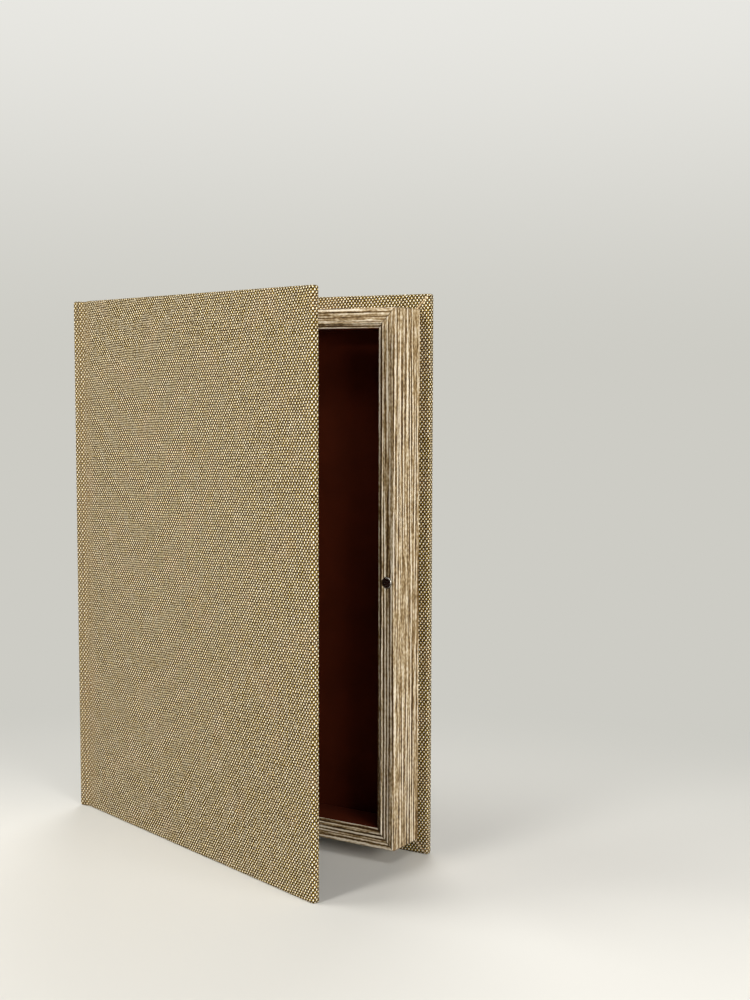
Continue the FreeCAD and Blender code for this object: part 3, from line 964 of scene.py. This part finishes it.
@dataclass
class BoxPlan:
    """Planes of the box, with its front cover swung shut, read from the frame."""

    wrap: ClothWrap = field(default_factory=ClothWrap)

    def __post_init__(self) -> None:
        """Reads the planes and the hinge."""
        joint = frame["joints"][0]
        self.hinge = Vector(joint["pos_m"])
        self.opening = -math.radians(joint["range_deg"][0])
        self.spine_low, self.spine_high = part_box("spine_cloth")
        self.back_low, self.back_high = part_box("back_cloth")
        self.panel_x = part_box("back_board")[0].x
        self.cover_low, self.cover_high = self.shut_box("front_cloth")
        self.joint_x = self.spine_high.x
        self.height = self.spine_high.z
        self.spine_width = self.spine_high.y - self.spine_low.y
        self.board_depth = self.back_high.y - self.back_low.y
        self.joint_width = self.panel_x - self.joint_x
        well_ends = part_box("lining_bottom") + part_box("lining_top")
        self.well_centre = sum(well_ends, Vector()) / len(well_ends)

    def shut_box(self, node: str) -> tuple[Vector, Vector]:
        """The box of a node of the front cover, with the cover swung shut.

        Args:
            node: The CAD node.

        Returns:
            Its lowest and highest corners.
        """
        back = self.swing_about(-self.opening)
        points = [back @ vertex.co for vertex in frame["nodes"][node].data.vertices]
        low = Vector(min(point[axis] for point in points) for axis in range(3))
        high = Vector(max(point[axis] for point in points) for axis in range(3))
        return low, high

    def swing_about(self, angle: float) -> Matrix:
        """The turn of the front cover about its hinge line, open being positive."""
        there = Matrix.Translation(self.hinge)
        return there @ Matrix.Rotation(-angle, 4, "Z") @ there.inverted()

    def swing_open(self, mesh: BMesh) -> None:
        """Swings a mesh from the shut cover to the open one."""
        move(mesh, self.swing_about(self.opening))


@dataclass
class ClothCase:
    """The case: book cloth round three boards, with a joint on each side of the spine."""

    plan: BoxPlan
    slot: str = "book_cloth"
    joint_dip: float = 0.5 * MM
    joint_slope: float = 1.3 * MM
    joint_head_gap: float = 0.4 * MM
    joint_columns: int = 22
    joint_rows: int = 60
    joint_ripple: float = 0.06 * MM
    ripple_length: float = 18.0 * MM
    glue_line: float = 0.05 * MM
    cut_edge: float = 0.15 * MM
    cut_rounds: int = 2
    flange_rounds: int = 4
    fold_width: float = 1.1 * MM
    fold_rise: float = 0.45 * MM
    # The lining is pasted over the front cover's folds and presses them flatter
    lined_fold_rise: float = 0.15 * MM
    iron_start: float = -2.4 * MM
    iron_end: float = 3.8 * MM
    tolerance: float = 0.01 * MM

    def __post_init__(self) -> None:
        """Tells the cloth where its joints are ironed."""
        plan = self.plan
        ironed = (plan.joint_x + self.iron_start, plan.panel_x + self.iron_end)
        self.finish = BookCloth(joint=ironed)

    def build(self) -> None:
        """Builds and dresses the cloth of the case."""
        self.build_front_cover()
        self.build_back_cover()
        self.build_spine()
        self.build_lining()

    def thread_place(
        self, width: float, both_ends: bool = False
    ) -> Callable[[Vector, Vector], tuple[float, float]]:
        """How the cloth of a covered board lies on the flat sheet.

        Args:
            width: Width of the board's outer face.
            both_ends: Whether the cloth turns round the near end too.

        Returns:
            A function of a point and the middle of its face.
        """
        wrap, thick, height = self.plan.wrap, self.plan.board_depth, self.plan.height

        def place(point: Vector, middle: Vector) -> tuple[float, float]:
            """Finds where a point of the covered board lies on the cloth.

            Args:
                point: The point.
                middle: The middle of its face.

            Returns:
                Its places across and along the cloth.
            """
            ends = [width - middle.x]
            if both_ends:
                ends.append(middle.x)
            rims = min(middle.z, height - middle.z)
            if min(ends) < rims:
                if both_ends and middle.x < width / 2:
                    return -wrap.past_edge(point.x, point.y, thick), point.z
                return width + wrap.past_edge(width - point.x, point.y, thick), point.z
            if middle.z > height / 2:
                run = wrap.past_edge(height - point.z, point.y, thick)
                return point.x, height + run
            return point.x, -wrap.past_edge(point.z, point.y, thick)

        return place

    def covered_board(self, width: float, rise: float) -> BMesh:
        """Cloth round three edges of a cover board, lying outer face down.

        Args:
            width: Width of the cover.
            rise: How far the folds in its mitres stand up.

        Returns:
            The mesh: X from the joint, Y inwards, Z along the height.
        """
        wrap = self.plan.wrap
        far = Vector((width, self.plan.board_depth, self.plan.height))
        mesh = start_box(Vector((-2 * wrap.turn_in, 0.0, 0.0)), far)
        round_edges(mesh, mesh.edges, wrap.radius, wrap.rounds)
        inner = facing(mesh, Vector((0.0, 1.0, 0.0)))
        inset = wrap.turn_in - wrap.radius
        bmesh.ops.inset_region(mesh, faces=[inner], thickness=inset)
        bmesh.ops.delete(mesh, geom=[inner], context="FACES")
        cut(mesh, (0.0, 0.0, 0.0), (-1.0, 0.0, 0.0), clear=True)
        self.raise_folds(mesh, far, rise)
        thicken(mesh, wrap.cloth)
        lay_threads(mesh, self.thread_place(width))
        return mesh

    def raise_folds(self, mesh: BMesh, far: Vector, rise: float) -> None:
        """Raises the folds where two turn-ins meet in a mitre.

        Args:
            mesh: The cloth.
            far: The cover's far corner: its width, thickness and height.
            rise: How far the folds stand up.
        """
        width, thick, height = far
        rubbed = mesh.verts.layers.float.new(FOLD_MAP)
        for end, way in ((0.0, 1.0), (height, -1.0)):
            across = Vector((1.0, 0.0, way)).normalized()
            corner = Vector((width, thick, end))
            for side in (-1, 0, 1):
                level = [
                    face
                    for face in mesh.faces
                    if abs(face.calc_center_median().y - thick) < self.tolerance
                ]
                cut(mesh, corner + across * side * self.fold_width, across, level)
            ridge = [
                vertex
                for vertex in mesh.verts
                if abs((vertex.co - corner).dot(across)) < self.tolerance
                and abs(vertex.co.y - thick) < self.tolerance
            ]
            bmesh.ops.translate(mesh, verts=ridge, vec=(0.0, rise, 0.0))
            for vertex in ridge:
                vertex[rubbed] = 1.0

    def strip_length(self) -> float:
        """Length of a strip across a joint."""
        return self.plan.height - 2 * self.joint_head_gap

    def joint_strip(self, depth: float, turn: float) -> BMesh:
        """A strip of cloth across a joint, pressed in a little and bent.

        Args:
            depth: How far the strip lies under the case's outer face.
            turn: How far its far side is swung.

        Returns:
            The mesh: X across the joint, Y inwards, Z along the height.
        """
        width, length = self.plan.joint_width, self.strip_length()
        mesh = bmesh.new()
        bmesh.ops.create_grid(
            mesh,
            x_segments=self.joint_columns,
            y_segments=self.joint_rows,
            size=0.5,
            matrix=Matrix.Rotation(math.pi / 2, 4, "X"),
        )
        for vertex in mesh.verts:
            across = (vertex.co.x + 0.5) * width
            along = self.joint_head_gap + (vertex.co.z + 0.5) * length
            near, far = (
                smooth(distance / self.joint_slope) for distance in (across, width - across)
            )
            ripple = noise.noise(Vector((across, 0.0, along)) / self.ripple_length)
            dip = self.joint_dip + self.joint_ripple * ripple
            vertex.co = Vector((across, depth + dip * near * far, along))
        lay_threads(mesh, lambda point, middle: (point.x, point.z))
        thicken(mesh, self.plan.wrap.cloth)
        self.bend(mesh, turn)
        return mesh

    def bend(self, mesh: BMesh, turn: float) -> None:
        """Bends a strip about the middle of its joint.

        Args:
            mesh: The strip, lying flat.
            turn: How far its far side is swung.
        """
        width = self.plan.joint_width
        pivot = Vector((width / 2, 0.0, 0.0))
        for vertex in mesh.verts:
            across = vertex.co.x - self.joint_slope
            share = smooth(across / (width - 2 * self.joint_slope))
            swing = Matrix.Rotation(-turn * share, 3, "Z")
            vertex.co = pivot + swing @ (vertex.co - pivot)

    def front_strip(self, depth: float) -> BMesh:
        """A strip across the front joint, bent as the open cover bends it.

        Args:
            depth: How far the strip lies under the case's outer face.

        Returns:
            The mesh, in the part's frame.
        """
        plan = self.plan
        strip = self.joint_strip(depth, plan.opening)
        shift_threads(strip, plan.joint_x, 1.0)
        move(strip, Matrix.Translation((plan.joint_x, plan.cover_low.y, 0.0)))
        return strip

    def build_front_cover(self) -> None:
        """The front cover's cloth, swung open."""
        plan = self.plan
        width = plan.cover_high.x - plan.panel_x
        mesh = self.covered_board(width, self.lined_fold_rise)
        shift_threads(mesh, plan.panel_x, 1.0)
        move(mesh, Matrix.Translation((plan.panel_x, plan.cover_low.y, 0.0)))
        plan.swing_open(mesh)
        piece = make_piece(
            "front_cover_cloth", mesh, self.finish, self.slot, ["front_cloth"], "front_cover"
        )

    def build_back_cover(self) -> None:
        """The back cover's cloth, and the still joint beside the spine."""
        plan = self.plan
        width = plan.back_high.x - plan.panel_x
        mirrored = Matrix.Diagonal((1.0, -1.0, 1.0, 1.0))
        rear_end = plan.joint_x - self.spine_length()
        cover = self.covered_board(width, self.fold_rise)
        shift_threads(cover, rear_end - plan.joint_width, -1.0)
        strip = self.joint_strip(0.0, 0.0)
        shift_threads(strip, rear_end, -1.0)
        for mesh, start in ((cover, plan.panel_x), (strip, plan.joint_x)):
            move(mesh, Matrix.Translation((start, plan.back_high.y, 0.0)) @ mirrored)
        join(cover, strip)
        piece = make_piece(
            "back_cover_cloth", cover, self.finish, self.slot, ["back_cloth"], "case"
        )

    def spine_side(self) -> float:
        """Length of cloth round one side of the spine, from its face to the joint."""
        return self.plan.board_depth + (math.pi / 2 - 2) * self.plan.wrap.radius

    def spine_length(self) -> float:
        """Length of cloth round the spine, from one joint to the other."""
        return self.plan.spine_width + 2 * self.spine_side()

    def build_spine(self) -> None:
        """The spine's cloth, and the front joint that bends beside it."""
        spine = self.covered_spine()
        join(spine, self.front_strip(0.0))
        replaced = ["spine_cloth", "hinge_cloth"]
        piece = make_piece("spine_and_joint_cloth", spine, self.finish, self.slot, replaced)
        self.bend_with_cover(piece)

    def bend_with_cover(self, piece: Object) -> None:
        """Bakes a sheet's place in the scene into its mesh.

        Args:
            piece: The sheet.
        """
        plan = self.plan
        shut_end = Vector((plan.panel_x, plan.cover_low.y, 0.0))
        end = plan.swing_about(plan.opening) @ shut_end
        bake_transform(piece)

    def covered_spine(self) -> BMesh:
        """Cloth turned round all four sides of the spine's board.

        Returns:
            The mesh, in the part's frame.
        """
        plan, wrap = self.plan, self.plan.wrap
        width, height, thick = plan.spine_width, plan.height, plan.board_depth
        mesh = start_box(Vector((0.0, 0.0, 0.0)), Vector((width, thick, height)))
        outer = [edge for edge in mesh.edges if not inner_upright(edge, thick)]
        round_edges(mesh, outer, wrap.radius, wrap.rounds)
        for level in (wrap.turn_in, height - wrap.turn_in):
            cut(mesh, (0.0, 0.0, level), (0.0, 0.0, 1.0))
        inner = facing(mesh, Vector((0.0, 1.0, 0.0)))
        bmesh.ops.delete(mesh, geom=[inner], context="FACES")
        thicken(mesh, wrap.cloth)
        lay_threads(mesh, self.thread_place(width, both_ends=True))
        shift_threads(mesh, plan.joint_x - self.spine_side(), -1.0)
        on_edge = Matrix(((0.0, 1.0, 0.0), (1.0, 0.0, 0.0), (0.0, 0.0, 1.0))).to_4x4()
        move(mesh, Matrix.Translation((plan.spine_low.x, plan.spine_low.y, 0.0)) @ on_edge)
        return mesh

    def build_lining(self) -> None:
        """The hinge's lining: a strip that bends, glued down on both sides of it."""
        plan, cloth = self.plan, self.plan.wrap.cloth
        mesh = self.front_strip(cloth + self.glue_line)

        low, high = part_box("hinge_lining_spine_flange")
        on_spine = start_box(low, high)
        round_edges(on_spine, on_spine.edges, self.cut_edge, self.cut_rounds)
        lay_threads(on_spine, lambda point, middle: (-point.y, point.z))
        join(mesh, on_spine)

        low, high = plan.shut_box("hinge_lining_cover_flange")
        on_cover = start_box(low, high)
        ways = ((1, 0, 0), (0, -1, 0), (0, 0, 1), (0, 0, -1))
        open_sides = [facing(on_cover, Vector(way)) for way in ways]
        bmesh.ops.delete(on_cover, geom=open_sides, context="FACES")
        fold = [edge for edge in on_cover.edges if len(edge.link_faces) == 2]
        round_edges(on_cover, fold, cloth, self.flange_rounds)
        thicken(on_cover, cloth)
        lay_threads(on_cover, lambda point, middle: (point.x + point.y, point.z))
        plan.swing_open(on_cover)
        join(mesh, on_cover)

        replaced = ["hinge_lining", "hinge_lining_spine_flange", "hinge_lining_cover_flange"]
        piece = make_piece("hinge_lining_cloth", mesh, self.finish, self.slot, replaced)
        self.bend_with_cover(piece)


@dataclass
class LinedTray:
    """The tray: four lengths of moulding round a lined floor, with a magnet."""

    plan: BoxPlan
    suede: SuedeLining = field(default_factory=SuedeLining)
    slot: str = "suede_lining"
    # Moves the print from length to length, so that no two look alike
    print_step: float = 0.37
    arris: float = 0.12 * MM
    arris_rounds: int = 2
    ripple: float = 0.12 * MM
    ripple_length: float = 35.0 * MM
    grid: float = 8.0 * MM

    def build(self) -> None:
        """Dresses the moulding and the magnet, and makes the linings."""
        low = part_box("bottom_rail")[0]
        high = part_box("top_rail")[1]
        lengths = {
            "bottom_rail": Grain.ACROSS,
            "top_rail": Grain.ACROSS,
            "spine_stile": Grain.UPRIGHT,
            "fore_stile": Grain.UPRIGHT,
        }
        for number, (node, grain) in enumerate(lengths.items(), start=1):
            finish = MouldingFoil(
                name=f"moulding_foil_{node}",
                grain=grain,
                offset=self.print_step * number,
                corner=((high.x - low.x) / 2, (high.z - low.z) / 2),
                middle_of_frame=((high.x + low.x) / 2, (high.z + low.z) / 2),
            )
            dress(node, finish)
        low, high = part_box("magnet")
        plate = PlatedMetal(
            name="magnet_nickel_plate",
            axis=tuple((low + high) / 2),
            rim=(high.z - low.z) / 2,
        )
        dress("magnet", plate)
        for side in ("floor", "bottom", "top", "spine_side", "fore_side"):
            self.lay_lining(f"lining_{side}", "case")
        self.lay_lining("cover_lining", "front_cover", swing=True)

    def lay_lining(self, node: str, body: str, swing: bool = False) -> None:
        """Makes a sheet of lining, with soft edges and a faintly uneven face.

        Args:
            node: The CAD node that it replaces.
            body: The body that it rides on.
            swing: Whether it lies on the open cover.
        """
        low, high = self.plan.shut_box(node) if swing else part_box(node)
        mesh = start_box(low, high)
        round_edges(mesh, mesh.edges, self.arris, self.arris_rounds)
        span = high - low
        thin = min(range(3), key=lambda axis: span[axis])
        wide = [axis for axis in range(3) if axis != thin]
        for axis in wide:
            normal = Vector(tuple(float(place == axis) for place in range(3)))
            steps = max(int(span[axis] / self.grid), 1)
            for step in range(1, steps):
                cut(mesh, low + normal * span[axis] * step / steps, normal)
        shows_high = self.plan.well_centre[thin] > (low[thin] + high[thin]) / 2
        face, sink = (high[thin], -1.0) if shows_high else (low[thin], 1.0)
        for vertex in mesh.verts:
            inside = min(
                min(vertex.co[axis] - low[axis], high[axis] - vertex.co[axis])
                for axis in wide
            )
            if abs(vertex.co[thin] - face) < self.arris / 4 and inside > self.arris:
                share = 0.5 + 0.5 * noise.noise(vertex.co / self.ripple_length)
                vertex.co[thin] += sink * self.ripple * share
        if swing:
            self.plan.swing_open(mesh)
        piece = make_piece(f"{node}_suede", mesh, self.suede, self.slot, [node], body)


@dataclass
class HiddenStock:
    """Boards, cards and steel that the cloth and the tray cover."""

    grey: PressedBoard = PressedBoard(name="greyboard_raw")
    card: PressedBoard = PressedBoard(name="infill_card_raw", light="#D8D2C2", deep="#C2BAA6")
    hard: PressedBoard = PressedBoard(name="hardboard_raw", light="#8A6B4A", deep="#6A4E34")
    steel: PlatedMetal = PlatedMetal(
        name="wedge_steel_drawn", light="#A6A6A4", deep="#767674", roughness=0.38
    )

    def build(self) -> None:
        """Dresses the hidden pieces."""
        for finish, nodes in (
            (self.grey, ("back_board", "spine_board", "front_board")),
            (self.card, ("back_infill", "front_infill")),
            (self.hard, ("tray_floor",)),
            (self.steel, ("corner_wedges", "strike_disc")),
        ):
            for node in nodes:
                dress(node, finish)


@dataclass(frozen=True)
class Lamp:
    """A soft lamp that looks at the box from an azimuth and an elevation."""

    name: str
    azimuth: float
    elevation: float
    size: float
    power: float
    distance: float = 1.6
    colour: str = "#FFFEFA"

    def hang(self, target: Vector) -> None:
        """Hangs the lamp.

        Args:
            target: The point that it looks at.
        """
        data = bpy.data.lights.new(self.name, "AREA")
        data.shape = "DISK"
        data.size = self.size
        data.energy = self.power
        data.color = linear(self.colour)[:3]
        lamp = add_object(self.name, data)
        back = look_from(self.azimuth, self.elevation)
        lamp.location = target + back * self.distance
        lamp.rotation_mode = "QUATERNION"
        lamp.rotation_quaternion = back.to_track_quat("Z", "Y")
        lamp.visible_camera = False


@dataclass
class Studio:
    """Camera, floor, sky and lamps. None of it is part of the box."""

    # The photograph's view, worked out from the box's corners
    eye: tuple[float, float, float] = (0.4864, -0.6570, 0.2484)
    azimuth: float = 32.12
    pitch: float = 4.76
    roll: float = 0.12
    lens: float = 53.52
    clip: tuple[float, float] = (0.01, 50.0)
    floor_size: float = 12.0
    floor_sides: int = 96
    horizon: str = "#CDCCC5"
    zenith: str = "#EAE9E4"
    # The height of the way up, from 0 to 1, at which the sky is as pale as it gets
    sky_rise: float = 0.28
    sky_light: str = "#FFFFFC"
    sky_strength: float = 0.02
    lamps: tuple[Lamp, ...] = (
        Lamp("key_lamp", -9.0, 20.0, 0.45, 19.5),
        Lamp("left_lamp", -60.0, 55.0, 0.8, 13.0),
        Lamp("high_lamp", 60.0, 60.0, 0.8, 6.0),
        Lamp("side_lamp", 66.0, 11.0, 0.6, 16.5),
        Lamp("edge_lamp", 88.0, 16.0, 0.6, 5.5),
        Lamp("rear_lamp", 205.0, 40.0, 1.0, 14.0, colour="#FFFFFF"),
    )

    def build(self) -> None:
        """Sets up the studio."""
        scene = bpy.context.scene
        scene.view_settings.view_transform = "Standard"
        self.place_camera(scene)
        self.lay_floor()
        self.light_sky(scene)
        low, high = cad_bounds
        for lamp in self.lamps:
            lamp.hang((low + high) / 2)

    def place_camera(self, scene: Scene) -> None:
        """Puts the camera where the photograph was taken from.

        Args:
            scene: The scene.
        """
        data = bpy.data.cameras.new("camera")
        data.lens = self.lens
        data.clip_start, data.clip_end = self.clip
        camera = add_object("camera", data)
        back = look_from(self.azimuth, self.pitch)
        around, tilt = math.radians(self.azimuth), math.radians(self.roll)
        level = Vector((math.cos(around), math.sin(around), 0.0))
        upright = back.cross(level)
        right = level * math.cos(tilt) + upright * math.sin(tilt)
        up = back.cross(right)
        turn = Matrix((right, up, back)).transposed().to_4x4()
        camera.matrix_world = Matrix.Translation(self.eye) @ turn
        scene.camera = camera

    def lay_floor(self) -> None:
        """Lays the paper that the box stands on."""
        mesh = bmesh.new()
        bmesh.ops.create_circle(
            mesh, cap_ends=True, segments=self.floor_sides, radius=self.floor_size / 2
        )
        data = bpy.data.meshes.new("floor")
        mesh.to_mesh(data)
        mesh.free()
        data.materials.append(StudioPaper().material())
        add_object("floor", data)

    def light_sky(self, scene: Scene) -> None:
        """Lights the scene evenly, and shows a pale backdrop to the camera.

        Args:
            scene: The scene.
        """
        world = bpy.data.worlds.new("studio_sky")
        world.use_nodes = True
        tree = world.node_tree
        tree.nodes.clear()
        add = partial(add_node, tree)
        way = add("TexCoord").outputs["Generated"]
        height = add("SeparateXYZ", [way]).outputs[2]
        share = add("MapRange", [height, 0.0, self.sky_rise], interpolation_type="SMOOTHSTEP")
        colours = linear(self.horizon), linear(self.zenith)
        shown = add("Mix", [share, *colours], data_type="RGBA")
        backdrop = add("Background", {"Color": shown})
        light = add("Background", {"Color": linear(self.sky_light), "Strength": self.sky_strength})
        rays = add("LightPath").outputs
        seen = add("Math", [rays["Is Camera Ray"], rays["Is Glossy Ray"]], operation="MAXIMUM")
        plain = add("Math", [seen, rays["Is Transmission Ray"]], operation="MAXIMUM")
        mixed = add("MixShader", [plain, light, backdrop])
        add("OutputWorld", {"Surface": mixed})
        scene.world = world


def main() -> None:
    """Builds the box's looks and the studio."""
    logging.basicConfig(level=logging.INFO, format="%(name)s: %(message)s")
    plan = BoxPlan()
    ClothCase(plan).build()
    LinedTray(plan).build()
    HiddenStock().build()
    Studio().build()


if __name__ == "__main__":
    main()
